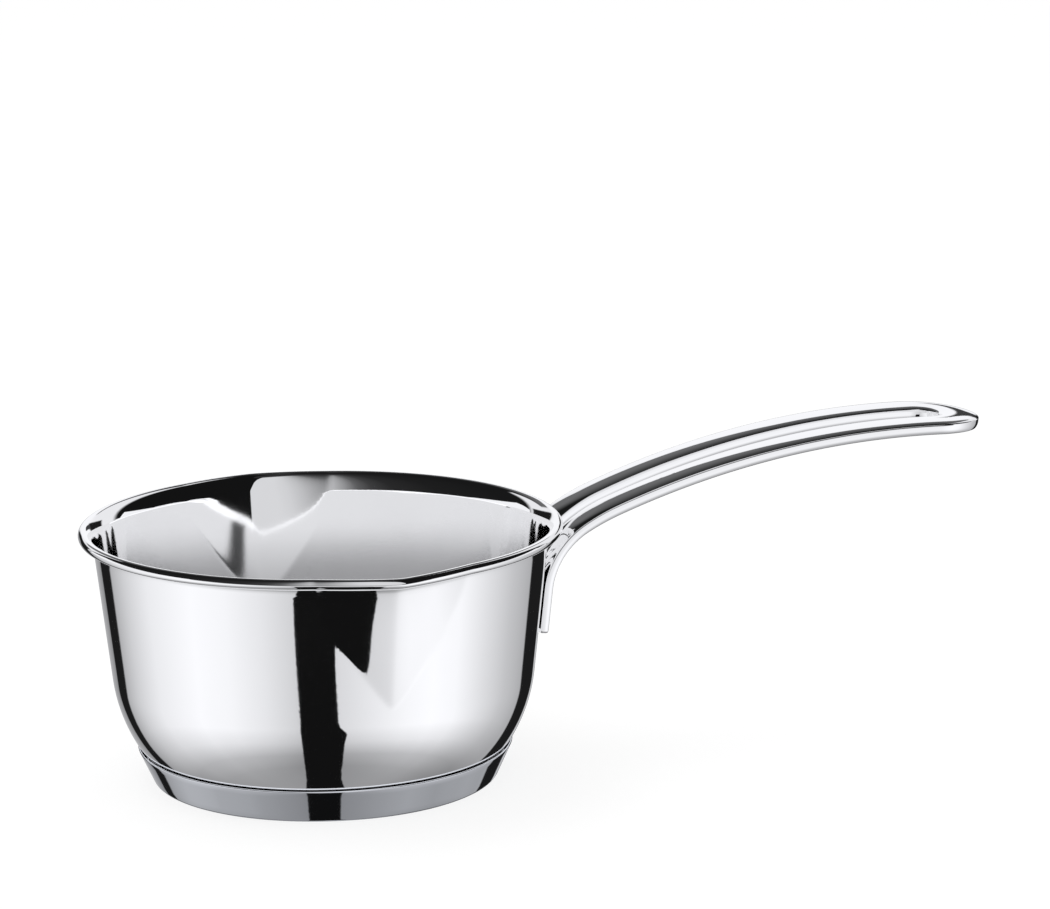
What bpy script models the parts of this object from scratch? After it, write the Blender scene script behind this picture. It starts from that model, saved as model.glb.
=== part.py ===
# Butter warmer: a small stainless steel pan with a capsule base, two pouring spouts and a hairpin handle.
# Lengths are in metres and +Z is up. The origin is the centre of the base's underside.
# The handle points along +X, and the spouts lie at -Y and +Y.

import math

import bmesh
import bpy
from mathutils import Vector

MM = 0.001

# Clearance between pieces that touch on the real pan
GAP = 0.3 * MM

# Pan body, drawn from one sheet
PAN_SHEET = 0.8 * MM
RIM_RADIUS = 63.8 * MM
RIM_HEIGHT = 68.3 * MM
WALL_TILT = math.radians(6.4)
BOWL_HEIGHT = 21.3 * MM
BOWL_RADIUS = 42.0 * MM
CORNER_RADIUS = 6.5 * MM

# Lip of the pan: a flare that ends in a rolled bead
FLARE_RADIUS = 6.0 * MM
FLARE_TILT = math.radians(55.0)
BEAD_RADIUS = 1.4 * MM
BEAD_END = math.radians(320.0)

# Pouring spouts, two V-shaped folds in the wall. The flanks slope more near the rim,
# and a blend eases each flank into the round wall
SPOUT_HEIGHT = 34.93 * MM
SPOUT_HALF_WIDTH = 19.98 * MM
SPOUT_TAPER = 1.421
SPOUT_SLOPE = 0.1034
SPOUT_RIM_SLOPE = 0.0404
SPOUT_RIM_POWER = 5
SPOUT_HOLLOW = 1.149
SPOUT_RIM_HOLLOW = 0.0385
SPOUT_CREST_ROUNDING = 1.04 * MM
SPOUT_TURN = math.radians(1.97)
SPOUT_DIP_SHARE = 0.11

# Base: an aluminium disc inside a thin cap
CAP_SHEET = 0.5 * MM
CAP_HEIGHT = 9.3 * MM
CAP_SET_IN = 4.6 * MM
CAP_CORNER_RADIUS = 1.2 * MM
DISC_THICKNESS = 5.6 * MM
DISC_EDGE_ROUNDING = 0.4 * MM

# Handle: one bar bent into a hairpin, with its crowned side up on the grip and toward the pan on the legs
BAR_WIDTH = 10.8 * MM
BAR_SIDE = 2.7 * MM
BAR_CROWN = 1.0 * MM
BAR_EDGE = 0.5 * MM
LEG_CROWN = 0.2 * MM
LEG_SPACING = 14.94 * MM
BAR_SPREAD = math.radians(1.45)
FOOT_DROP = 32.8 * MM
LEG_LENGTH = 12.0 * MM
ROOT_RADIUS = 19.74 * MM
ROOT_TURN = math.radians(52.6)
EASE_RADIUS = 52.9 * MM
EASE_TURN = math.radians(10.7)
SWEEP_RADIUS = 245.0 * MM
HANDLE_LENGTH = 150.2 * MM

# Fineness of the round shapes
RING_STEPS = 72
RING_CROWDING = 0.2
CORNER_STEPS = 5
BOWL_STEPS = 4
WALL_STEPS = 6
FLARE_STEPS = 4
BEAD_STEPS = 8
CAP_CORNER_STEPS = 4
CAP_LIP_STEPS = 4
DISC_EDGE_STEPS = 2
CROWN_STEPS = 6
ROOT_STEPS = 7
EASE_STEPS = 3
SWEEP_STEPS = 8
HALF_TIP_STEPS = 8

WELD_DISTANCE = 0.01 * MM
SMOOTH_ANGLE = math.radians(30.0)

STEEL = (0.78, 0.78, 0.80, 1.0)
ALUMINIUM = (0.70, 0.71, 0.73, 1.0)


# Outline points

def heading_point(centre, reach, tilt):
    # Place on a circle where a line that leans out from vertical by the tilt touches it on the outside
    return centre + reach * Vector((math.cos(tilt), -math.sin(tilt)))


def arc(centre, reach, start, end, steps):
    tilts = [start + (end - start) * step / steps for step in range(steps + 1)]
    return [heading_point(centre, reach, tilt) for tilt in tilts]


# Centres and tilts of the pan's outline, worked out from the rim inward and down
class PanOutline:
    def __init__(self):
        self.floor_under = CAP_SHEET + GAP + DISC_THICKNESS + GAP
        self.bead = Vector((RIM_RADIUS - BEAD_RADIUS, RIM_HEIGHT - BEAD_RADIUS))
        self.flare = heading_point(self.bead, FLARE_RADIUS - BEAD_RADIUS, FLARE_TILT)
        self.wall_top = heading_point(self.flare, PAN_SHEET - FLARE_RADIUS, WALL_TILT)
        bowl_top = self.floor_under + BOWL_HEIGHT
        wall_foot = Vector((self.wall_radius(bowl_top), bowl_top))
        self.bowl = heading_point(wall_foot, -BOWL_RADIUS, WALL_TILT)
        corner_height = self.floor_under + CORNER_RADIUS
        self.bowl_tilt = math.asin((self.bowl.y - corner_height) / (BOWL_RADIUS - CORNER_RADIUS))
        self.corner = heading_point(self.bowl, BOWL_RADIUS - CORNER_RADIUS, self.bowl_tilt)

    def wall_radius(self, height):
        return self.wall_top.x + (height - self.wall_top.y) * math.tan(WALL_TILT)

    # Radius, at one height, of the surface that lies a clearance outside the pan
    def outside_radius(self, height, clearance):
        for centre, reach, start in (
            (self.corner, CORNER_RADIUS + clearance, self.bowl_tilt),
            (self.bowl, BOWL_RADIUS + clearance, WALL_TILT),
        ):
            drop = centre.y - height
            if drop >= reach * math.sin(start):
                return centre.x + math.sqrt(reach * reach - drop * drop)
        return self.wall_radius(height) + clearance / math.cos(WALL_TILT)

    # One skin of the sheet, from the axis to the end of the bead
    def skin(self, inset):
        floor = [Vector((0.0, self.floor_under + inset))]
        corner = arc(self.corner, CORNER_RADIUS - inset, math.pi / 2, self.bowl_tilt, CORNER_STEPS)
        bowl = arc(self.bowl, BOWL_RADIUS - inset, self.bowl_tilt, WALL_TILT, BOWL_STEPS)
        flare_reach = PAN_SHEET - FLARE_RADIUS - inset
        flare = arc(self.flare, flare_reach, WALL_TILT, FLARE_TILT, FLARE_STEPS)
        wall = [bowl[-1].lerp(flare[0], step / WALL_STEPS) for step in range(1, WALL_STEPS)]
        bead_reach = PAN_SHEET - BEAD_RADIUS - inset
        bead = arc(self.bead, bead_reach, FLARE_TILT, BEAD_END, BEAD_STEPS)
        return floor + corner + bowl[1:] + wall + flare + bead[1:]


# Scene

def clear_scene():
    for obj in list(bpy.data.objects):
        bpy.data.objects.remove(obj, do_unlink=True)


def new_collection(name):
    collection = bpy.data.collections.new(name)
    bpy.context.scene.collection.children.link(collection)
    return collection


def metal(name, colour, roughness):
    material = bpy.data.materials.new(name)
    material.use_nodes = True
    shader = material.node_tree.nodes["Principled BSDF"]
    shader.inputs["Base Color"].default_value = colour
    shader.inputs["Metallic"].default_value = 1.0
    shader.inputs["Roughness"].default_value = roughness
    return material


def new_object(name, mesh, collection, material):
    obj = bpy.data.objects.new(name, mesh)
    mesh.materials.append(material)
    collection.objects.link(obj)
    return obj


def smooth(mesh):
    mesh.shade_smooth()
    mesh.set_sharp_from_angle(angle=SMOOTH_ANGLE)


# Turned pieces

def turned_object(name, outline, collection, material):
    mesh = bpy.data.meshes.new(name)
    points = [(point.x, 0.0, point.y) for point in outline]
    edges = [(index, index + 1) for index in range(len(points) - 1)]
    mesh.from_pydata(points, edges, [])
    obj = new_object(name, mesh, collection, material)
    screw = obj.modifiers.new("turn", "SCREW")
    screw.axis = "Z"
    screw.angle = math.tau
    screw.steps = RING_STEPS
    screw.render_steps = RING_STEPS
    screw.use_merge_vertices = True
    screw.merge_threshold = WELD_DISTANCE
    return obj


def apply_modifiers(obj):
    graph = bpy.context.evaluated_depsgraph_get()
    mesh = bpy.data.meshes.new_from_object(obj.evaluated_get(graph))
    old = obj.data
    obj.modifiers.clear()
    obj.data = mesh
    bpy.data.meshes.remove(old)
    mesh.name = obj.name


# Rings stand closer together near the spouts, where the wall folds
def crowd_rings(mesh):
    for vertex in mesh.vertices:
        radius = math.hypot(vertex.co.x, vertex.co.y)
        angle = math.atan2(vertex.co.y, vertex.co.x)
        angle += RING_CROWDING * math.sin(2 * angle)
        vertex.co.x = radius * math.cos(angle)
        vertex.co.y = radius * math.sin(angle)


def press_spouts(mesh, outline):
    spout_top = outline.bead.y
    for vertex in mesh.vertices:
        depth = min(1.0, 1.0 - (spout_top - vertex.co.z) / SPOUT_HEIGHT)
        if depth <= 0.0:
            continue
        half_width = SPOUT_HALF_WIDTH * (1 - (1 - depth) ** SPOUT_TAPER)
        across = vertex.co.x * math.cos(SPOUT_TURN) + vertex.co.y * math.sin(SPOUT_TURN)
        aside = math.hypot(across, SPOUT_CREST_ROUNDING) - SPOUT_CREST_ROUNDING
        share = max(0.0, 1 - aside / half_width) ** (SPOUT_HOLLOW + SPOUT_RIM_HOLLOW * depth)
        slope = SPOUT_SLOPE + SPOUT_RIM_SLOPE * depth**SPOUT_RIM_POWER
        push = slope * half_width * share
        outward = Vector((vertex.co.x, vertex.co.y, 0.0)).normalized()
        vertex.co += push * outward
        vertex.co.z -= SPOUT_DIP_SHARE * push * depth


def make_pan(outline, collection, material):
    profile = outline.skin(PAN_SHEET) + outline.skin(0.0)[::-1]
    pan = turned_object("pan_body", profile, collection, material)
    apply_modifiers(pan)
    crowd_rings(pan.data)
    press_spouts(pan.data, outline)
    smooth(pan.data)


# Base

# Cone of the cap: the line down the middle of its sheet, from the lip to the corner of the foot
class CapOutline:
    def __init__(self, pan):
        half_sheet = CAP_SHEET / 2
        lip_height = CAP_HEIGHT - half_sheet
        self.lip = Vector((pan.outside_radius(lip_height, GAP + half_sheet), lip_height))
        self.foot = Vector((self.lip.x - CAP_SET_IN, CAP_CORNER_RADIUS))
        side = self.lip - self.foot
        reach = CAP_CORNER_RADIUS - half_sheet
        self.tilt = math.acos(reach / side.length) - math.atan2(side.y, side.x)

    # Radius of a surface that lies an inset inside the middle of the cone's sheet
    def cone_radius(self, height, inset):
        return self.lip.x - (self.lip.y - height) * math.tan(self.tilt) - inset / math.cos(self.tilt)


def make_base_cap(cap, collection, material):
    inner = arc(cap.foot, CAP_CORNER_RADIUS - CAP_SHEET, math.pi / 2, cap.tilt, CAP_CORNER_STEPS)
    lip = arc(cap.lip, -CAP_SHEET / 2, cap.tilt, cap.tilt + math.pi, CAP_LIP_STEPS)
    outer = arc(cap.foot, CAP_CORNER_RADIUS, cap.tilt, math.pi / 2, CAP_CORNER_STEPS)
    profile = [Vector((0.0, CAP_SHEET)), *inner, *lip, *outer, Vector((0.0, 0.0))]
    base = turned_object("base_cap", profile, collection, material)
    apply_modifiers(base)
    smooth(base.data)


def make_heat_disc(cap, collection, material):
    bottom = CAP_SHEET + GAP
    top = bottom + DISC_THICKNESS
    inset = CAP_SHEET / 2 + GAP
    shape = bmesh.new()
    bmesh.ops.create_cone(
        shape,
        cap_ends=True,
        segments=RING_STEPS,
        radius1=cap.cone_radius(bottom, inset),
        radius2=cap.cone_radius(top, inset),
        depth=DISC_THICKNESS,
    )
    mesh = bpy.data.meshes.new("heat_disc")
    shape.to_mesh(mesh)
    shape.free()
    smooth(mesh)
    disc = new_object("heat_disc", mesh, collection, material)
    disc.location.z = (bottom + top) / 2
    bevel = disc.modifiers.new("edges", "BEVEL")
    bevel.width = DISC_EDGE_ROUNDING
    bevel.segments = DISC_EDGE_STEPS
    bevel.limit_method = "ANGLE"
    bevel.angle_limit = SMOOTH_ANGLE


# Handle

# Side view of the hairpin: the underside's radius, height and lean at a distance along the bar
def bend(pan, along):
    foot_height = RIM_HEIGHT - FOOT_DROP
    place = Vector((leg_seat(pan) * math.cos(leg_roll(pan)), foot_height))
    tilt = WALL_TILT
    straight = min(along, LEG_LENGTH)
    place += straight * Vector((math.sin(tilt), math.cos(tilt)))
    rest = along - straight
    for radius, turn in bends():
        step = min(rest, radius * turn)
        centre = heading_point(place, radius, tilt)
        tilt += step / radius
        place = heading_point(centre, -radius, tilt)
        rest -= step
    return place, tilt


def bends():
    return (
        (ROOT_RADIUS, ROOT_TURN),
        (EASE_RADIUS, EASE_TURN),
        (SWEEP_RADIUS, HANDLE_LENGTH / SWEEP_RADIUS),
    )


# Distance from the pan's axis to the outer face of a leg that lies on the wall
def leg_seat(pan):
    wall = pan.wall_radius(RIM_HEIGHT - FOOT_DROP)
    return wall + GAP + LEG_CROWN + BAR_SIDE


# Turn of each leg about its own length, which lays it on the round wall
def leg_roll(pan):
    return math.asin(LEG_SPACING / 2 / leg_seat(pan))


# Share of the way from the flat legs, 0, to the crowned grip, 1
def grip_share(along):
    curved = ROOT_RADIUS * ROOT_TURN + EASE_RADIUS * EASE_TURN
    share = min(max((along - LEG_LENGTH) / curved, 0.0), 1.0)
    return share * share * (3 - 2 * share)


# Middle line of the flattened hairpin: along the handle, and across it on the +Y side
def hairpin_half():
    root_end = LEG_LENGTH + ROOT_RADIUS * ROOT_TURN
    ease_end = root_end + EASE_RADIUS * EASE_TURN
    # The round tip touches both bars, which spread by a small angle
    tip = HANDLE_LENGTH - BAR_WIDTH / 2
    spread = math.tan(BAR_SPREAD)
    radius = (LEG_SPACING / 2 + spread * tip) / (spread + 1 / math.cos(BAR_SPREAD))
    centre = tip - radius
    touch = centre - radius * math.sin(BAR_SPREAD)
    stations = [0.0]
    for start, end, steps in (
        (LEG_LENGTH, root_end, ROOT_STEPS),
        (root_end, ease_end, EASE_STEPS),
        (ease_end, touch, SWEEP_STEPS),
    ):
        stations += [start + (end - start) * step / steps for step in range(steps)]
    bar = [(along, LEG_SPACING / 2 + spread * along) for along in stations]
    quarter = math.pi / 2 + BAR_SPREAD
    for step in range(HALF_TIP_STEPS + 1):
        angle = quarter * (1 - step / HALF_TIP_STEPS)
        bar.append((centre + radius * math.cos(angle), radius * math.sin(angle)))
    return bar


def curve_object(name, points, closed, collection):
    curve = bpy.data.curves.new(name, "CURVE")
    curve.dimensions = "3D"
    spline = curve.splines.new("POLY")
    spline.points.add(len(points) - 1)
    for knot, point in zip(spline.points, points):
        knot.co = (*point, 0.0, 1.0)
    spline.use_cyclic_u = closed
    obj = bpy.data.objects.new(name, curve)
    obj.hide_render = True
    obj.display_type = "WIRE"
    collection.objects.link(obj)
    return obj


# Section of the bar: flat underside, upright sides and a crowned top
def bar_section():
    half = BAR_WIDTH / 2
    section = [(BAR_EDGE - half, 0.0), (half - BAR_EDGE, 0.0), (half, BAR_EDGE)]
    for step in range(CROWN_STEPS + 1):
        angle = math.pi * step / CROWN_STEPS
        section.append((half * math.cos(angle), BAR_SIDE + BAR_CROWN * math.sin(angle)))
    section.append((-half, BAR_EDGE))
    return section


def flat_hairpin(guides):
    half = hairpin_half()
    path = half + [(along, -across) for along, across in half[-2::-1]]
    section = curve_object("bar_section", bar_section(), True, guides)
    guide = curve_object("hairpin_path", path, False, guides)
    guide.data.twist_mode = "Z_UP"
    guide.data.bevel_mode = "OBJECT"
    guide.data.bevel_object = section
    guide.data.use_fill_caps = True
    graph = bpy.context.evaluated_depsgraph_get()
    mesh = bpy.data.meshes.new_from_object(guide.evaluated_get(graph))
    for obj in (guide, section):
        bpy.data.objects.remove(obj, do_unlink=True)
    shape = bmesh.new()
    shape.from_mesh(mesh)
    bmesh.ops.remove_doubles(shape, verts=shape.verts, dist=WELD_DISTANCE)
    bmesh.ops.recalc_face_normals(shape, faces=shape.faces)
    shape.to_mesh(mesh)
    shape.free()
    return mesh


# Wraps the flat hairpin onto its side view and lays the legs on the wall
def bend_hairpin(mesh, pan):
    for vertex in mesh.vertices:
        along, across, up = vertex.co
        share = grip_share(along)
        crown = LEG_CROWN + (BAR_CROWN - LEG_CROWN) * share
        if up > BAR_SIDE:
            up = BAR_SIDE + (up - BAR_SIDE) * crown / BAR_CROWN
        side = math.copysign(1.0, across)
        middle = side * (LEG_SPACING / 2 + math.tan(BAR_SPREAD) * along)
        roll = leg_roll(pan) * (1 - share)
        aside = across - middle
        across = middle - side * up * math.sin(roll) + aside * math.cos(roll)
        up = up * math.cos(roll) + side * aside * math.sin(roll)
        place, tilt = bend(pan, along)
        vertex.co.x = place.x - up * math.cos(tilt)
        vertex.co.y = across
        vertex.co.z = place.y + up * math.sin(tilt)


def make_handle(pan, collection, guides, material):
    mesh = flat_hairpin(guides)
    mesh.name = "handle_loop"
    bend_hairpin(mesh, pan)
    smooth(mesh)
    mesh.materials.clear()
    new_object("handle_loop", mesh, collection, material)


def main():
    clear_scene()
    parts = new_collection("butter_warmer")
    guides = new_collection("guides")
    pan = PanOutline()
    cap = CapOutline(pan)
    make_pan(pan, parts, metal("pan_steel", STEEL, 0.08))
    make_base_cap(cap, parts, metal("base_steel", STEEL, 0.1))
    make_heat_disc(cap, parts, metal("disc_aluminium", ALUMINIUM, 0.4))
    make_handle(pan, parts, guides, metal("handle_steel", STEEL, 0.09))


main()
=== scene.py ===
import bmesh
import bpy
import math
from mathutils import Matrix, Vector


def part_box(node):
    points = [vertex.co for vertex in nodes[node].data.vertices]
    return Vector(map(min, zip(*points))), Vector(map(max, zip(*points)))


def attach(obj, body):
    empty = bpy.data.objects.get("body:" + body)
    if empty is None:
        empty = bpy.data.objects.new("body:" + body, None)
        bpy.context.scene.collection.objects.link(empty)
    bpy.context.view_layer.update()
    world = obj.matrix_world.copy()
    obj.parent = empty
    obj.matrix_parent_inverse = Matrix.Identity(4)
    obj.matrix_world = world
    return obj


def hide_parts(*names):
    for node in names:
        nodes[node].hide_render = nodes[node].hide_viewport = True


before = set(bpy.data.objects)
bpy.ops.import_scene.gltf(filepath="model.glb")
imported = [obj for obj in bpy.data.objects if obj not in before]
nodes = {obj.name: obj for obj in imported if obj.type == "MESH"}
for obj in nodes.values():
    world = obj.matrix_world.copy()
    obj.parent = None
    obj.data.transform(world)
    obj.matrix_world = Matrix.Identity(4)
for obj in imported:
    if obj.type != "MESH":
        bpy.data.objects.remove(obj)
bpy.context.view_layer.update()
print("frame loaded")


# Small helpers

meshSettings = {
    "sharpAngle": math.radians(40),
    "turnedMerge": 0.00002,
    "sectionMerge": 0.00001,
}


def addPiece(name, bm, replaced):
    # a finished bmesh becomes a smooth piece of the pan, at the origin
    mesh = bpy.data.meshes.new(name)
    bm.to_mesh(mesh)
    bm.free()
    mesh.shade_smooth()
    mesh.set_sharp_from_angle(angle=meshSettings["sharpAngle"])
    piece = bpy.data.objects.new(name, mesh)
    bpy.context.scene.collection.objects.link(piece)
    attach(piece, "root")
    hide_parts(replaced)
    return piece


def partsOf(swept, kind):
    # the points or the edges among what an operator gives back
    return [part for part in swept if isinstance(part, kind)]


def heading(tilt):
    # way that a line runs in the XZ plane, leaning out from vertical by its tilt
    return Vector((math.sin(tilt), 0, math.cos(tilt)))


def leftOf(tilt):
    return Vector((-math.cos(tilt), 0, math.sin(tilt)))


class Outline:
    # a side view or a section, drawn on from its last point by lines and arcs
    def __init__(self, bm, start, tilt):
        self.bm = bm
        self.tip = bmesh.ops.create_vert(bm, co=start)["vert"][0]
        self.tilt = tilt

    def line(self, length, steps):
        for step in range(steps):
            grown = bmesh.ops.extrude_vert_indiv(self.bm, verts=[self.tip])
            self.tip = grown["verts"][0]
            self.tip.co += heading(self.tilt) * length / steps

    def arc(self, radius, tilt, steps):
        # turns to the new tilt; the centre lies on the left of an arc that turns upright
        turn = tilt - self.tilt
        centre = self.tip.co + leftOf(self.tilt) * math.copysign(radius, -turn)
        swept = bmesh.ops.spin(
            self.bm, geom=[self.tip], cent=centre, axis=(0, 1, 0),
            angle=turn, steps=steps, use_merge=False,
        )
        self.tip = partsOf(swept["geom_last"], bmesh.types.BMVert)[0]
        self.tilt = tilt


def turnRound(bm, steps):
    # a full turn about the pan's axis, with its seam and poles closed
    bmesh.ops.spin(
        bm, geom=bm.verts[:] + bm.edges[:], cent=(0, 0, 0), axis=(0, 0, 1),
        angle=math.tau, steps=steps, use_merge=True,
    )
    bmesh.ops.remove_doubles(bm, verts=bm.verts, dist=meshSettings["turnedMerge"])
    bmesh.ops.recalc_face_normals(bm, faces=bm.faces)


# Pan body: one drawn sheet, turned as its underside and outside and then given its thickness

panSizes = {
    "sheet": 0.0008,
    "floorUnder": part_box("pan_body")[0].z,
    "rimRadius": -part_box("pan_body")[0].x,
    "rimHeight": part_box("pan_body")[1].z,
    "wallTilt": math.radians(6.4),
    "bowlHeight": 0.0213,
    "bowlRadius": 0.042,
    "cornerRadius": 0.0065,
    "flareRadius": 0.006,
    "flareTilt": math.radians(55),
    "beadRadius": 0.0014,
    "beadEnd": math.radians(320),
    "floorSteps": 12,
    "cornerSteps": 12,
    "bowlSteps": 16,
    "wallSteps": 34,
    "flareSteps": 8,
    "beadSteps": 20,
    "turnSteps": 360,
    "insideTop": 0.006,  # how far below the lip the inner finish and its painted shade stop
    "outwardDrop": 0.03,
}

spoutSizes = {
    "height": 0.03493,
    "halfWidth": 0.01998,
    "taper": 1.421,
    "slope": 0.1034,
    "rimSlope": 0.0404,
    "rimPower": 5,
    "hollow": 1.149,
    "rimHollow": 0.0385,
    "crestRounding": 0.00104,
    "turn": math.radians(1.97),
    "dip": 0.11,
    "crowding": 0.25,
}


def panOutline(bm):
    # the outside skin from the axis out; every length follows from the rim
    s = panSizes
    tilt = s["wallTilt"]
    beadCentre = Vector((s["rimRadius"] - s["beadRadius"], 0, s["rimHeight"] - s["beadRadius"]))
    flareCentre = beadCentre - leftOf(s["flareTilt"]) * (s["flareRadius"] - s["beadRadius"])
    flareSkin = s["flareRadius"] - s["sheet"]
    wallTop = flareCentre + leftOf(tilt) * flareSkin
    bowlTop = s["floorUnder"] + s["bowlHeight"]
    wallRun = (wallTop.z - bowlTop) / math.cos(tilt)
    wallFoot = wallTop - heading(tilt) * wallRun
    bowlCentre = wallFoot + leftOf(tilt) * s["bowlRadius"]
    cornerReach = s["bowlRadius"] - s["cornerRadius"]
    bowlTilt = math.asin((bowlCentre.z - s["floorUnder"] - s["cornerRadius"]) / cornerReach)
    cornerX = bowlCentre.x + cornerReach * math.cos(bowlTilt)
    outline = Outline(bm, (0, 0, s["floorUnder"]), math.pi / 2)
    outline.line(cornerX, s["floorSteps"])
    outline.arc(s["cornerRadius"], bowlTilt, s["cornerSteps"])
    outline.arc(s["bowlRadius"], tilt, s["bowlSteps"])
    outline.line(wallRun, s["wallSteps"])
    outline.arc(flareSkin, s["flareTilt"], s["flareSteps"])
    outline.arc(s["beadRadius"] - s["sheet"], s["beadEnd"], s["beadSteps"])
    return beadCentre.z


def crowdTowardSpouts(bm):
    # columns of points stand closer together near the spouts, where the wall folds
    for vert in bm.verts:
        radius = math.hypot(vert.co.x, vert.co.y)
        angle = math.atan2(vert.co.y, vert.co.x)
        angle += spoutSizes["crowding"] * math.sin(2 * angle)
        vert.co.x = radius * math.cos(angle)
        vert.co.y = radius * math.sin(angle)


def pressSpouts(bm, top):
    # each spout is a V fold: two sloping flanks that meet in a rounded crest
    s = spoutSizes
    rounding = s["crestRounding"]
    for vert in bm.verts:
        depth = min(1, 1 - (top - vert.co.z) / s["height"])
        if depth <= 0:
            continue
        halfWidth = s["halfWidth"] * (1 - (1 - depth) ** s["taper"])
        across = vert.co.x * math.cos(s["turn"]) + vert.co.y * math.sin(s["turn"])
        aside = math.hypot(across, rounding) - rounding
        share = max(0, 1 - aside / halfWidth) ** (s["hollow"] + s["rimHollow"] * depth)
        push = (s["slope"] + s["rimSlope"] * depth ** s["rimPower"]) * halfWidth * share
        outward = Vector((vert.co.x, vert.co.y, 0)).normalized()
        vert.co += outward * push
        vert.co.z -= s["dip"] * push * depth


def buildPan():
    s = panSizes
    bm = bmesh.new()
    top = panOutline(bm)
    turnRound(bm, s["turnSteps"])
    crowdTowardSpouts(bm)
    pressSpouts(bm, top)
    bm.normal_update()
    bmesh.ops.solidify(bm, geom=bm.faces[:], thickness=-s["sheet"])
    bmesh.ops.recalc_face_normals(bm, faces=bm.faces)
    for face in bm.faces:
        # an inner face looks towards the axis or up
        middle = face.calc_center_median()
        outward = Vector((middle.x, middle.y, -s["outwardDrop"]))
        facesIn = face.normal.dot(outward) < 0
        face.material_index = int(facesIn and middle.z < s["rimHeight"] - s["insideTop"])
    return addPiece("polished_pan", bm, "pan_body")


pan = buildPan()
print("pan made")


# Base cap: thin sheet pressed over the disc, with a rounded lip

capSizes = {
    "sheet": 0.0005,
    "height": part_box("base_cap")[1].z,
    "lipRadius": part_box("base_cap")[1].x,
    "setIn": 0.0046,
    "cornerRadius": 0.0012,
    "flatSteps": 10,
    "cornerSteps": 10,
    "sideSteps": 6,
    "turnSteps": 360,
}


def buildCap():
    s = capSizes
    half = s["sheet"] / 2
    cornerMiddle = s["cornerRadius"] - half
    # the cone leans so that it touches the lip and the corner of the foot
    side = Vector((s["setIn"], s["height"] - half - s["cornerRadius"]))
    tilt = math.acos(cornerMiddle / side.length) - math.atan2(side.y, side.x)
    lipX = s["lipRadius"] - half
    footX = lipX - s["setIn"]
    lip = Vector((lipX, 0, s["height"] - half)) + leftOf(tilt) * -half
    footEnd = Vector((footX, 0, s["cornerRadius"])) - leftOf(tilt) * s["cornerRadius"]
    run = (lip - footEnd).length
    bm = bmesh.new()
    outline = Outline(bm, (0, 0, 0), math.pi / 2)
    outline.line(footX, s["flatSteps"])
    outline.arc(s["cornerRadius"], tilt, s["cornerSteps"])
    outline.line(run, s["sideSteps"])
    outline.arc(half, tilt - math.pi, s["cornerSteps"])
    outline.line(run, s["sideSteps"])
    outline.arc(s["cornerRadius"] - s["sheet"], -math.pi / 2, s["cornerSteps"])
    outline.line(outline.tip.co.x, s["flatSteps"])
    turnRound(bm, s["turnSteps"])
    return addPiece("capsule_base", bm, "base_cap")


cap = buildCap()
print("base cap made")


# Handle: a flat-oval bar swept flat as a hairpin, then bent to its side view and laid on the wall

handleSizes = {
    "width": 0.0108,
    "side": 0.0027,
    "crown": 0.001,
    "edge": 0.0006,
    "sideLean": math.radians(30),
    "sideRadius": 0.0032,
    "endRounding": 0.0008,
    "legThinning": 0.78,
    "legSpacing": 0.01494,
    "spread": math.radians(1.45),
    "footHeight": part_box("handle_loop")[0].z,
    "legSeat": 0.0599,
    "legLength": 0.012,
    # radius and turn of each bend from the leg to the tip
    "bends": (
        (0.01974, math.radians(52.6)),
        (0.0529, math.radians(10.7)),
        (0.245, math.radians(60)),
    ),
    "length": 0.1502,
    "undersideSteps": 4,
    "edgeSteps": 6,
    "sideSteps": 6,
    "flatSteps": 2,
    "crownSteps": 22,
    "legSteps": 150,
    "loopSteps": 96,
    "endSteps": 4,
}


def barSection(bm):
    # half the section of the bar, from the middle of its underside to the middle of its crown,
    # and its mirror
    s = handleSizes
    half = s["width"] / 2
    lean = s["sideLean"]
    sideRise = s["sideRadius"] * math.sin(lean)
    sideInset = s["sideRadius"] * (1 - math.cos(lean))
    edgeRise = s["edge"] * (1 - math.sin(lean))
    edgeReach = s["edge"] * math.cos(lean)
    merge = meshSettings["sectionMerge"]
    outline = Outline(bm, (0, 0, 0), math.pi / 2)
    outline.line(half - sideInset - edgeReach, s["undersideSteps"])
    outline.arc(s["edge"], lean, s["edgeSteps"])
    outline.arc(s["sideRadius"], 0, s["sideSteps"])
    outline.line(s["side"] - sideRise - edgeRise, s["flatSteps"])
    below = set(bm.verts)
    outline.arc(half, -math.pi / 2, s["crownSteps"])
    crown = [vert for vert in bm.verts if vert not in below]
    flatten = Matrix.Diagonal((1, 1, s["crown"] / half))
    bmesh.ops.transform(bm, verts=crown, matrix=aboutPoint(flatten, (0, 0, s["side"])))
    bmesh.ops.mirror(bm, geom=bm.verts[:] + bm.edges[:], axis="X", merge_dist=merge)
    bmesh.ops.remove_doubles(bm, verts=bm.verts, dist=merge)


def aboutPoint(matrix, point):
    return Matrix.Translation(point) @ matrix.to_4x4() @ Matrix.Translation(-Vector(point))


def sweepLeg(bm, edges, run):
    # carries the section along one leg in short steps
    steps = handleSizes["legSteps"]
    for step in range(steps):
        grown = bmesh.ops.extrude_edge_only(bm, edges=edges)["geom"]
        edges = partsOf(grown, bmesh.types.BMEdge)
        bmesh.ops.translate(bm, vec=run / steps, verts=partsOf(grown, bmesh.types.BMVert))
    return edges


def sideView(along, rollCos):
    # place and tilt of the bar's underside, seen from the side, at a length from its foot
    s = handleSizes
    tilt = panSizes["wallTilt"]
    place = Vector((s["legSeat"] * rollCos, 0, s["footHeight"]))
    straight = min(along, s["legLength"])
    place += heading(tilt) * straight
    rest = along - straight
    for radius, turn in s["bends"]:
        step = min(rest, radius * turn)
        centre = place - leftOf(tilt) * radius
        tilt += step / radius
        place = centre + leftOf(tilt) * radius
        rest -= step
    return place, tilt


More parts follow.
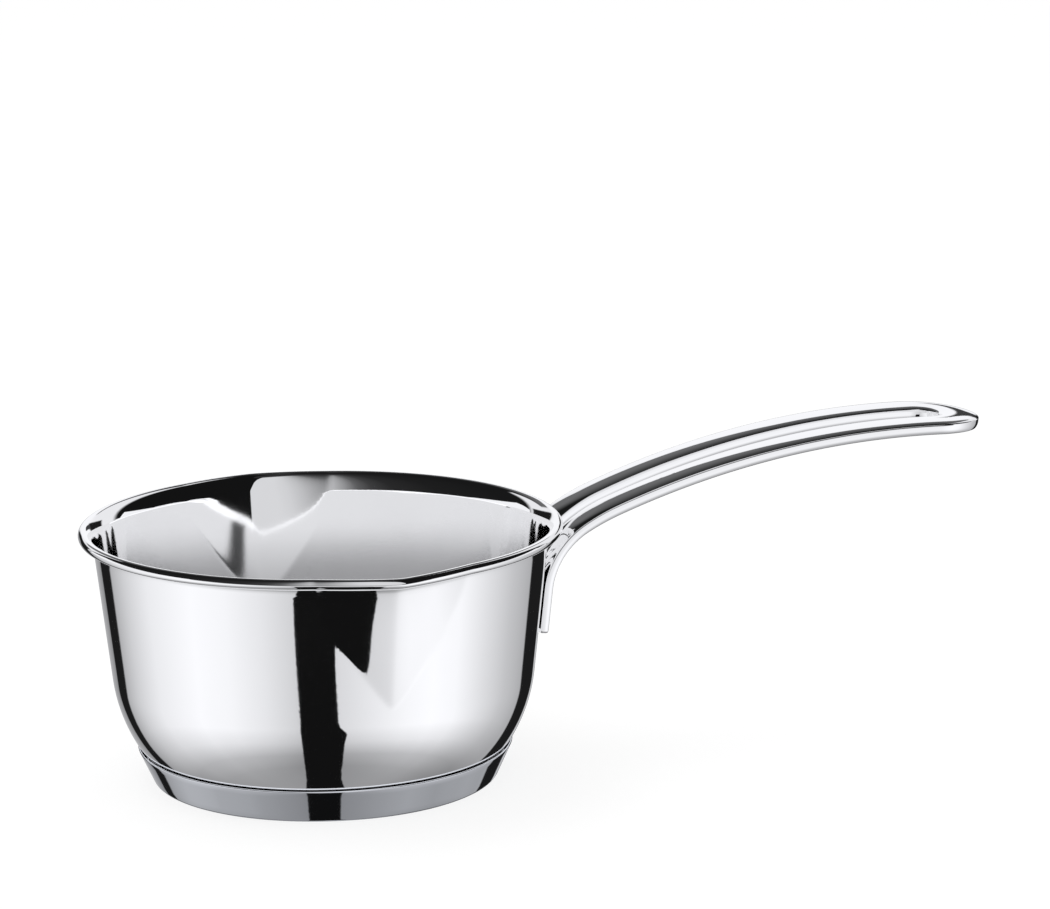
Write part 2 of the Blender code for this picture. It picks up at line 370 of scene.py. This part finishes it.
def bendHandle(bm):
    # the legs are thinner and roll on to the wall; the bars rise from them to their full crown
    s = handleSizes
    roll = math.asin(s["legSpacing"] / 2 / s["legSeat"])
    curved = sum(radius * turn for radius, turn in s["bends"][:2])
    for vert in bm.verts:
        along, across, up = vert.co
        share = min(max((along - s["legLength"]) / curved, 0), 1)
        share = share * share * (3 - 2 * share)
        up *= s["legThinning"] + (1 - s["legThinning"]) * share
        side = math.copysign(1, across)
        middle = side * (s["legSpacing"] / 2 + math.tan(s["spread"]) * along)
        turn = roll * (1 - share)
        aside = across - middle
        across = middle - side * up * math.sin(turn) + aside * math.cos(turn)
        up = up * math.cos(turn) + side * aside * math.sin(turn)
        place, tilt = sideView(along, math.cos(roll))
        vert.co = place + leftOf(tilt) * up + Vector((0, across, 0))


def buildHandle():
    s = handleSizes
    half = s["width"] / 2
    spread = math.tan(s["spread"])
    tip = s["length"] - half
    radius = (s["legSpacing"] / 2 + spread * tip) / (spread + 1 / math.cos(s["spread"]))
    centre = tip - radius
    touch = centre - radius * math.sin(s["spread"])
    bm = bmesh.new()
    barSection(bm)
    # square to the leg, which leans out by the spread
    foot = (0, s["legSpacing"] / 2, 0)
    turnIn = Matrix.Rotation(s["spread"] + math.pi / 2, 4, "Z")
    bmesh.ops.transform(bm, verts=bm.verts, matrix=Matrix.Translation(foot) @ turnIn)
    along = Vector((math.cos(s["spread"]), math.sin(s["spread"]), 0))
    edges = sweepLeg(bm, bm.edges[:], along * touch / math.cos(s["spread"]))
    verts = list({vert for edge in edges for vert in edge.verts})
    swept = bmesh.ops.spin(
        bm, geom=verts + edges, cent=(centre, 0, 0), axis=(0, 0, 1),
        angle=-(math.pi + 2 * s["spread"]), steps=s["loopSteps"], use_merge=False,
    )
    edges = partsOf(swept["geom_last"], bmesh.types.BMEdge)
    sweepLeg(bm, edges, Vector((-along.x, along.y, 0)) * touch / math.cos(s["spread"]))
    ends = bmesh.ops.holes_fill(bm, edges=bm.edges, sides=0)["faces"]
    bmesh.ops.bevel(
        bm, geom=list({edge for face in ends for edge in face.edges}), offset=s["endRounding"],
        affect="EDGES", segments=s["endSteps"], profile=0.5, material=-1,
    )
    bendHandle(bm)
    bmesh.ops.recalc_face_normals(bm, faces=bm.faces)
    return addPiece("hairpin_handle", bm, "handle_loop")


handle = buildHandle()
print("handle made")


# Camera, from the photograph's perspective

cameraView = {
    "imageWidth": 1050,
    "imageHeight": 909,
    "focalPixels": 4217,
    "pitch": math.radians(12.32),
    "roll": math.radians(-0.66),
    "handleYaw": math.radians(18.5),
    "aimHeight": 0.06687,
    "aimPixel": (321.0, 527.4),
    "depth": 1.111,
    "sensorWidth": 36,
    "clipStart": 0.01,
}


def placeCamera():
    c = cameraView
    # axes of the upright view: right, down and forward
    right = Vector((1, 0, 0))
    forward = Vector((0, math.cos(c["pitch"]), -math.sin(c["pitch"])))
    down = forward.cross(right)
    cosRoll, sinRoll = math.cos(c["roll"]), math.sin(c["roll"])
    rolledRight = right * cosRoll - down * sinRoll
    rolledDown = right * sinRoll + down * cosRoll
    aside = (c["aimPixel"][0] - c["imageWidth"] / 2) / c["focalPixels"] * c["depth"]
    below = (c["aimPixel"][1] - c["imageHeight"] / 2) / c["focalPixels"] * c["depth"]
    place = Vector((0, 0, c["aimHeight"])) - rolledRight * aside - rolledDown * below
    place -= forward * c["depth"]
    axes = Matrix((rolledRight, -rolledDown, -forward)).transposed().to_4x4()
    camera = bpy.data.cameras.new("photoCamera")
    camera.sensor_width = c["sensorWidth"]
    camera.lens = c["sensorWidth"] * c["focalPixels"] / c["imageWidth"]
    camera.clip_start = c["clipStart"]
    view = bpy.data.objects.new("photoCamera", camera)
    bpy.context.scene.collection.objects.link(view)
    view.matrix_world = Matrix.Rotation(-c["handleYaw"], 4, "Z") @ Matrix.Translation(place) @ axes
    bpy.context.scene.camera = view


placeCamera()
bpy.context.scene.view_settings.view_transform = "Standard"
print("camera placed")


# Shader helpers

class Wire:
    # an output socket; sums and products of wires and numbers add Math nodes
    def __init__(self, shader, socket):
        self.shader = shader
        self.socket = socket

    def output(self, name):
        return Wire(self.shader, self.socket.node.outputs[name])

    def __add__(self, other):
        return self.shader.maths("ADD", self, other)

    def __radd__(self, other):
        return self.shader.maths("ADD", other, self)

    def __sub__(self, other):
        return self.shader.maths("SUBTRACT", self, other)

    def __rsub__(self, other):
        return self.shader.maths("SUBTRACT", other, self)

    def __mul__(self, other):
        return self.shader.maths("MULTIPLY", self, other)

    def __rmul__(self, other):
        return self.shader.maths("MULTIPLY", other, self)


class Shader:
    def __init__(self, tree):
        self.tree = tree
        tree.nodes.clear()

    def add(self, kind, settings=None, sockets=None, out=0):
        node = self.tree.nodes.new(kind)
        for name, value in (settings or {}).items():
            if name == "stops":
                self.setStops(node.color_ramp, value)
            else:
                setattr(node, name, value)
        for name, value in (sockets or {}).items():
            if isinstance(value, Wire):
                self.tree.links.new(value.socket, node.inputs[name])
            else:
                node.inputs[name].default_value = value
        return Wire(self, node.outputs[out]) if node.outputs else None

    def setStops(self, ramp, stops):
        while len(ramp.elements) < len(stops):
            ramp.elements.new(1)
        for element, (place, level) in zip(ramp.elements, stops):
            element.position = place
            element.color = (level, level, level, 1)

    def maths(self, operation, *values):
        return self.add("ShaderNodeMath", {"operation": operation}, dict(enumerate(values)))

    def step(self, value, edge):
        # rises softly from 0 to 1 across the edge's two ends
        return self.add("ShaderNodeMapRange", {"interpolation_type": "SMOOTHSTEP"}, {
            "Value": value, "From Min": edge[0], "From Max": edge[1],
        })

    def drop(self, value, edge):
        return 1 - self.step(value, edge)

    def between(self, value, low, high, soft):
        rise = self.step(value, (low - soft, low + soft))
        return rise * self.drop(value, (high - soft, high + soft))

    def slope(self, value, span, ends):
        # straight from one end to the other over the span, and level beyond
        return self.add("ShaderNodeMapRange", None, {
            "Value": value, "From Min": span[0], "From Max": span[1],
            "To Min": ends[0], "To Max": ends[1],
        })

    def ramp(self, value, span, stops):
        # levels at the places given inside the span
        low, high = span
        share = self.slope(value, span, (0, 1))
        scaled = [((place - low) / (high - low), level) for place, level in stops]
        return self.add("ShaderNodeValToRGB", {"stops": scaled}, {"Fac": share})

    def mix(self, factor, first, second):
        # a Mix node takes numbers at its sockets 2 and 3, and colours at 6 and 7
        return self.add("ShaderNodeMix", {"data_type": "FLOAT"}, {0: factor, 2: first, 3: second})

    def tint(self, factor, first, second):
        return self.add("ShaderNodeMix", {"data_type": "RGBA"}, {0: factor, 6: first, 7: second}, out=2)

    def scale(self, colour, level):
        return self.add("ShaderNodeVectorMath", {"operation": "SCALE"}, {0: colour, "Scale": level})


# Studio: what the polished steel mirrors. Turns and lifts are in degrees, sideways from the camera
# towards its right and up from level; levels are linear, and 1 is white. A pair is the two ends of a
# soft edge, and three numbers are the ends of a stretch and how soft they are

# a ramp holds levels from 0 to 1, so that angles are scaled to them and back
angleReach = 90
angleShift = 0.1


class Surround:
    # the way of a mirrored ray, and fields that are drawn over it
    def __init__(self, shader):
        yaw = cameraView["handleYaw"]
        middle = (-0.5, 0.5)
        self.shader = shader
        self.way = shader.add("ShaderNodeTexCoord", out="Generated")
        self.aside = self.along((math.cos(yaw), -math.sin(yaw), 0))
        self.toCamera = self.along((-math.sin(yaw), -math.cos(yaw), 0))
        self.turn = shader.maths("ARCTAN2", self.aside, self.toCamera) * math.degrees(1)
        self.lift = shader.maths("ARCSINE", self.along((0, 0, 1))) * math.degrees(1)
        self.sideways = shader.maths("ABSOLUTE", self.turn)
        self.onRight = shader.step(self.turn, middle)

    def along(self, axis):
        settings = {"operation": "DOT_PRODUCT"}
        return self.shader.add("ShaderNodeVectorMath", settings, {0: self.way, 1: axis}, out="Value")

    def allRound(self, stops):
        return self.shader.ramp(self.turn, (-180, 180), stops)

    def heights(self, stops):
        levels = self.allRound([(place, height / angleReach + angleShift) for place, height in stops])
        return levels * angleReach - angleReach * angleShift


tableField = {
    # the table all round, and how it falls off below
    "round": (
        (-180, 0.36), (-140, 0.36), (-120, 0.62), (-100, 0.83), (-70, 0.97), (-50, 0.92), (-30, 0.79),
        (-11, 0.62), (10, 0.68), (30, 0.81), (50, 0.94), (65, 0.99), (80, 0.945), (100, 0.73),
        (120, 0.54), (140, 0.41), (180, 0.40),
    ),
    "fall": (
        (-90, 0.30), (-80, 0.31), (-70, 0.34), (-60, 0.385), (-50, 0.51), (-40, 0.82), (-30, 1),
        (-20, 1),
    ),
    "fallSpan": (-90, -20),
    "level": 1.09,
    # straight underneath
    "underLift": (-72, -55),
    "underShare": 0.6,
    "underLevel": 0.33,
    # dark sill in front
    "sill": ((-60, 0.06), (-30, 0.04), (0, 0.06), (25, 0.12), (45, 0.02), (62, 0.05)),
    "sillStart": (-62, -40),
    "sillEnd": (62, 68),
    "sillLift": (-11, -5),
    # behind the pan
    "behindLeft": ((-180, 0.55), (-170, 0.5), (-152, 0.3)),
    "behindRightSpan": (166, 180),
    "behindRight": (0.5, 0.72),
    "behindFrom": (165.9, 166.1),
    "behindTo": (-151.1, -150.9),
    "footTurn": (171, 176),
    "footLift": (-40, -30),
    "footLevel": 0.12,
    # dark gaps at both sides of the back panel, each with one slanting edge
    "leftGapStart": (-152, -150),
    "leftGapSpan": (-32, -17),
    "leftGapEdge": (-140, -135),
    "rightGapSpan": (-36, -17),
    "rightGapEdge": (147, 140),
    "rightGapEnd": (165, 167),
    "gapSoft": (-1.2, 1.2),
    "gapLevel": 0.012,
}


def tableBelow(around):
    # below the level: the table, darker underneath, with a dark sill in front
    s = tableField
    shader = around.shader
    turn = around.turn
    lift = around.lift
    falling = shader.ramp(lift, s["fallSpan"], s["fall"]) * s["level"]
    under = shader.drop(lift, s["underLift"]) * s["underShare"]
    table = shader.mix(under, around.allRound(s["round"]) * falling, s["underLevel"])
    inFront = shader.step(turn, s["sillStart"]) * shader.drop(turn, s["sillEnd"])
    sill = inFront * shader.step(lift, s["sillLift"])
    table = shader.mix(sill, table, around.allRound(s["sill"]))
    behindRight = shader.slope(turn, s["behindRightSpan"], s["behindRight"])
    behind = shader.mix(around.onRight, around.allRound(s["behindLeft"]), behindRight)
    isBehind = shader.step(turn, s["behindFrom"]) + shader.drop(turn, s["behindTo"])
    table = shader.mix(isBehind, table, behind)
    foot = shader.step(around.sideways, s["footTurn"]) * shader.step(lift, s["footLift"])
    table = shader.mix(foot, table, s["footLevel"])
    leftSlant = turn - shader.slope(lift, s["leftGapSpan"], s["leftGapEdge"])
    leftGap = shader.step(turn, s["leftGapStart"]) * shader.drop(leftSlant, s["gapSoft"])
    rightSlant = turn - shader.slope(lift, s["rightGapSpan"], s["rightGapEdge"])
    rightGap = shader.step(rightSlant, s["gapSoft"]) * shader.drop(turn, s["rightGapEnd"])
    return shader.mix(leftGap + rightGap, table, s["gapLevel"])


wayInField = {
    # half widths of the dark way in by lift, where the camera stands
    "leftEdge": (
        (-72, 0.114), (-63, 0.124), (-56, 0.133), (-43, 0.150), (-36, 0.161), (-31, 0.168),
        (-28.6, 0.167), (-28.1, 0.181), (-27.4, 0.192), (-26, 0.192),
    ),
    "rightEdge": (
        (-72, 0.111), (-64, 0.126), (-57, 0.148), (-50, 0.165), (-45, 0.179), (-41, 0.191),
        (-38, 0.203), (-35.5, 0.216), (-34, 0.216), (-32.6, 0.210), (-31.7, 0.199), (-31.1, 0.189),
        (-30.2, 0.176), (-28.8, 0.160), (-28, 0.137), (-26, 0.134),
    ),
    "span": (-76, -26),
    "soft": (-0.005, 0.005),
    "front": (-0.01, 0.01),
    "top": (-25.5, -24.5),
    "level": 0.006,
}


def cutWayIn(around, table):
    s = wayInField
    shader = around.shader
    leftOut = around.aside + shader.ramp(around.lift, s["span"], s["leftEdge"])
    rightOut = around.aside - shader.ramp(around.lift, s["span"], s["rightEdge"])
    wayIn = shader.step(leftOut, s["soft"]) * shader.drop(rightOut, s["soft"])
    wayIn = wayIn * shader.step(around.toCamera, s["front"]) * shader.drop(around.lift, s["top"])
    return shader.mix(wayIn, table, s["level"])


roomField = {
    # dark room with one tall panel in front
    "round": (
        (-140, 0.010), (-110, 0.010), (-60, 0.014), (-35, 0.024), (-24, 0.05), (-16, 0.12), (-8, 0.37),
        (-2, 0.55), (4, 0.68), (10, 0.735), (72, 0.735), (73, 0.007), (140, 0.007),
    ),
    "panelEdge": ((-10, 35), (2, 34), (4.5, 48), (20, 48), (36, 42), (50, 36), (66, 30), (80, 28)),
    "panelSpan": (-10, 80),
    "pastPanel": 0.007,
    "highLift": (76, 80),
    "highTurn": (-30, 64, 1),
    "highLevel": 0.03,
    "ceiling": ((20, 0.15), (30, 0.15), (40, 0.10), (50, 0.06), (60, 0.04), (90, 0.03)),
    "ceilingSpan": (20, 90),
    "ceilingTurn": (140, 155),
    # lit wedges low at both sides
    "leftWedge": ((-133, 8), (-126, 14), (-121, 16.5), (-116, 15), (-80, 4), (-60, 2.5), (-58, -9)),
    "leftWedgeTurn": (-133, -58, 0.5),
    "rightWedge": ((66, -9), (70, 3), (98, 5), (126, 15), (127, 4), (133, 4)),
    "rightWedgeTurn": (66, 133, 0.5),
    "wedgeLevel": 0.98,
    "thinSoft": (-0.6, 0.6),
    # the back panel
    "leftBackTop": (
        (-180, 31), (-176, 27), (-173, 24.5), (-169, 22.5), (-163.5, 23.5), (-160, 18), (-150, 18),
        (-142, 30), (-138, 36),
    ),
    "rightBackTop": (
        (133, 60), (144, 48), (152, 38), (158, 30), (161, 22), (165, 21), (167.5, 26.5), (173, 31),
        (180, 31),
    ),
    "backTurn": (131, 137),
    "backSoft": (-1.2, 1.2),
    "backSpan": (160, 168),
    "backLevels": (0.88, 1),
    # dark gaps low in it, and a dark bar
    "leftGapTurn": (-162, -137, 1.5),
    "rightGapTurn": (150, 168, 1.5),
    "gapTop": (11.5, 13.5),
    "gapLevel": 0.012,
    "barTurn": (166, 173.4, 0.5),
    "barFoot": (4.5, 6),
    "barTop": (10.6, 11.4),
    "barLevel": 0.05,
}


def roomAbove(around):
    # above the level: the room, with lit wedges low at both sides and the back panel
    s = roomField
    shader = around.shader
    turn = around.turn
    lift = around.lift

    def wedge(tops, stretch):
        under = shader.drop(lift - around.heights(tops), s["thinSoft"])
        return under * shader.between(turn, *stretch)

    turns = [(place, turned / angleReach) for place, turned in s["panelEdge"]]
    panelEdge = shader.ramp(lift, s["panelSpan"], turns) * angleReach
    past = shader.step(turn - panelEdge, s["thinSoft"])
    room = shader.mix(past, around.allRound(s["round"]), s["pastPanel"])
    high = shader.step(lift, s["highLift"]) * shader.between(turn, *s["highTurn"])
    room = shader.mix(high, room, s["highLevel"])
    ceiling = shader.ramp(lift, s["ceilingSpan"], s["ceiling"])
    room = shader.mix(shader.step(around.sideways, s["ceilingTurn"]), room, ceiling)
    wedges = wedge(s["leftWedge"], s["leftWedgeTurn"]) + wedge(s["rightWedge"], s["rightWedgeTurn"])
    room = shader.mix(wedges, room, s["wedgeLevel"])
    leftTop = around.heights(s["leftBackTop"])
    backTop = shader.mix(around.onRight, leftTop, around.heights(s["rightBackTop"]))
    back = shader.step(around.sideways, s["backTurn"]) * shader.drop(lift - backTop, s["backSoft"])
    room = shader.mix(back, room, shader.slope(around.sideways, s["backSpan"], s["backLevels"]))
    gaps = shader.between(turn, *s["leftGapTurn"]) + shader.between(turn, *s["rightGapTurn"])
    room = shader.mix(gaps * shader.drop(lift, s["gapTop"]), room, s["gapLevel"])
    bar = shader.between(turn, *s["barTurn"]) * shader.step(lift, s["barFoot"])
    return shader.mix(bar * shader.drop(lift, s["barTop"]), room, s["barLevel"])


crossedField = {
    "steel": 0.93,
    "once": (1.2, 1.8),
    "twice": (2.2, 2.8),
    "level": 0.76,
    # a lit stretch high up, with a dark one under it
    "litTurn": (-75, 95, 4),
    "litLevel": 1.1,
    "darkTurn": (-57, -43, 3),
    "darkFoot": (8, 11),
    "darkLevel": 0.05,
    "seam": (22, 26),
}


def crossPan(around, bounces, seen):
    # what has crossed the pan more than once comes back as one even panel
    s = crossedField
    shader = around.shader
    turn = around.turn
    lift = around.lift
    kept = shader.maths("POWER", 1 / s["steel"], bounces)
    more = shader.step(bounces, s["once"])
    twice = more * shader.drop(bounces, s["twice"])
    lit = twice * shader.step(lift, s["seam"]) * shader.between(turn, *s["litTurn"])
    crossed = shader.mix(lit, s["level"], s["litLevel"])
    dark = twice * shader.between(turn, *s["darkTurn"]) * shader.step(lift, s["darkFoot"])
    crossed = shader.mix(dark * shader.drop(lift, s["seam"]), crossed, s["darkLevel"])
    return shader.mix(more, seen, kept * crossed)


studioLight = {
    "horizon": (-4, 1),
    "seenLevel": 1,
    "dullLevel": 0.75,
    "seenColour": (1, 1, 1, 1),
    "mirroredColour": (0.985, 0.99, 1.02, 1),
}


def buildStudio():
    s = studioLight
    world = bpy.data.worlds.new("studio")
    bpy.context.scene.world = world
    world.use_nodes = True
    world.cycles.sampling_method = "NONE"  # not sampled as a lamp
    shader = Shader(world.node_tree)
    around = Surround(shader)
    path = shader.add("ShaderNodeLightPath")
    table = cutWayIn(around, tableBelow(around))
    seen = shader.mix(shader.step(around.lift, s["horizon"]), table, roomAbove(around))
    seen = crossPan(around, path.output("Glossy Depth"), seen)
    # the camera sees white, and dull surfaces take an even light
    isMirrored = path.output("Is Glossy Ray")
    plain = shader.mix(path.output("Is Diffuse Ray"), s["seenLevel"], s["dullLevel"])
    level = shader.mix(isMirrored, plain, seen)
    colour = shader.tint(isMirrored, s["seenColour"], s["mirroredColour"])
    lit = shader.scale(colour, level)
    background = shader.add("ShaderNodeBackground", None, {"Color": lit, "Strength": 1})
    shader.add("ShaderNodeOutputWorld", None, {"Surface": background})


# Floor and lamp

floorLook = {
    "size": 5,
    "colour": (0.9, 0.9, 0.9, 1),
    "glow": 1.12,
    "glowShare": 0.72,  # of what the camera sees; the rest is lit and takes the shadow
}


def buildFloor():
    s = floorLook
    bm = bmesh.new()
    bmesh.ops.create_grid(bm, x_segments=1, y_segments=1, size=s["size"])
    mesh = bpy.data.meshes.new("paleTable")
    bm.to_mesh(mesh)
    bm.free()
    table = bpy.data.objects.new("paleTable", mesh)
    bpy.context.scene.collection.objects.link(table)
    table.visible_glossy = False
    finish = bpy.data.materials.new("paleTable")
    finish.use_nodes = True
    shader = Shader(finish.node_tree)
    dull = shader.add("ShaderNodeBsdfDiffuse", None, {"Color": s["colour"]})
    bright = shader.add("ShaderNodeEmission", None, {"Color": (1, 1, 1, 1), "Strength": s["glow"]})
    share = shader.add("ShaderNodeLightPath").output("Is Camera Ray") * s["glowShare"]
    shown = shader.add("ShaderNodeMixShader", None, {0: share, 1: dull, 2: bright})
    shader.add("ShaderNodeOutputMaterial", None, {"Surface": shown})
    mesh.materials.append(finish)


lampSettings = {
    "size": 0.9,
    "energy": 4,
    "place": (-0.3, 0.2, 1.2),
}


def hangLamp():
    s = lampSettings
    lamp = bpy.data.lights.new("softLamp", "AREA")
    lamp.shape = "DISK"
    lamp.size = s["size"]
    lamp.energy = s["energy"]
    hung = bpy.data.objects.new("softLamp", lamp)
    bpy.context.scene.collection.objects.link(hung)
    hung.location = s["place"]
    hung.rotation_euler = (-hung.location).to_track_quat("-Z", "Y").to_euler()
    hung.visible_glossy = False


buildStudio()
buildFloor()
hangLamp()
print("studio made")


# Finishes: a faint cloudy wipe in colour and roughness, a very fine ripple, and a painted shade down
# the inner wall

wipeMarks = {
    "scale": 28,
    "detail": 4,
    "roughness": 0.55,
    "edge": (0.45, 0.75),
    "darkening": 0.985,
}

fineRipple = {
    "scale": 900,
    "detail": 2,
    "roughness": 0.5,
    "depth": 0.0001,
}

# painted shade: how far the inner wall's colour is darkened from the mouth down, most at mid-depth,
# heights in mm
mmPerMetre = 1000
paintedInnerShade = {
    "span": (20, 90),
    "stops": (
        (20, 0.8), (30, 0.72), (36, 0.66), (39.7, 0.66), (42, 0.695), (44.7, 0.76), (47.5, 0.84),
        (50.3, 0.93), (53, 0.985), (56, 1), (90, 1),
    ),
}

steelColour = (0.93, 0.93, 0.932, 1)
finishes = {
    "mirrorPolish": {"colour": steelColour, "roughness": 0.03, "wipe": 0.02, "ripple": 0.02},
    "insidePolishPaintedShade": {"colour": steelColour, "roughness": 0.05, "wipe": 0.03, "ripple": 0.02},
    "capPolish": {"colour": (0.775, 0.795, 0.83, 1), "roughness": 0.04, "wipe": 0.03, "ripple": 0.02},
    "handlePolish": {"colour": steelColour, "roughness": 0.035, "wipe": 0.02, "ripple": 0.02},
    "turnedAluminium": {
        "colour": (0.80, 0.805, 0.815, 1), "roughness": 0.28, "wipe": 0.1, "ripple": 0.05,
    },
}


def polished(name, paintedShading=None):
    look = finishes[name]
    colour = look["colour"]
    finish = bpy.data.materials.new(name)
    finish.use_nodes = True
    shader = Shader(finish.node_tree)
    place = shader.add("ShaderNodeTexCoord", out="Object")

    def noise(s):
        return shader.add("ShaderNodeTexNoise", {"noise_dimensions": "3D"}, {
            "Vector": place, "Scale": s["scale"], "Detail": s["detail"], "Roughness": s["roughness"],
        })

    haze = shader.step(noise(wipeMarks), wipeMarks["edge"])
    hazed = tuple(channel * wipeMarks["darkening"] for channel in colour[:3]) + (1,)
    shade = shader.tint(haze, colour, hazed)
    # painted shade: the colour is scaled down by height on the inner wall
    if paintedShading:
        height = shader.add("ShaderNodeSeparateXYZ", None, {"Vector": place}, out="Z") * mmPerMetre
        shade = shader.scale(shade, shader.ramp(height, paintedShading["span"], paintedShading["stops"]))
    bump = shader.add("ShaderNodeBump", None, {
        "Strength": look["ripple"], "Distance": fineRipple["depth"], "Height": noise(fineRipple),
    })
    metal = shader.add("ShaderNodeBsdfPrincipled", None, {
        "Base Color": shade, "Metallic": 1, "Roughness": haze * look["wipe"] + look["roughness"],
        "Normal": bump,
    })
    shader.add("ShaderNodeOutputMaterial", None, {"Surface": metal})
    return finish


pan.data.materials.append(polished("mirrorPolish"))
pan.data.materials.append(polished("insidePolishPaintedShade", paintedInnerShade))
cap.data.materials.append(polished("capPolish"))
handle.data.materials.append(polished("handlePolish"))
disc = nodes["heat_disc"]
disc.data.materials.clear()
disc.data.materials.append(polished("turnedAluminium"))
print("finishes made")
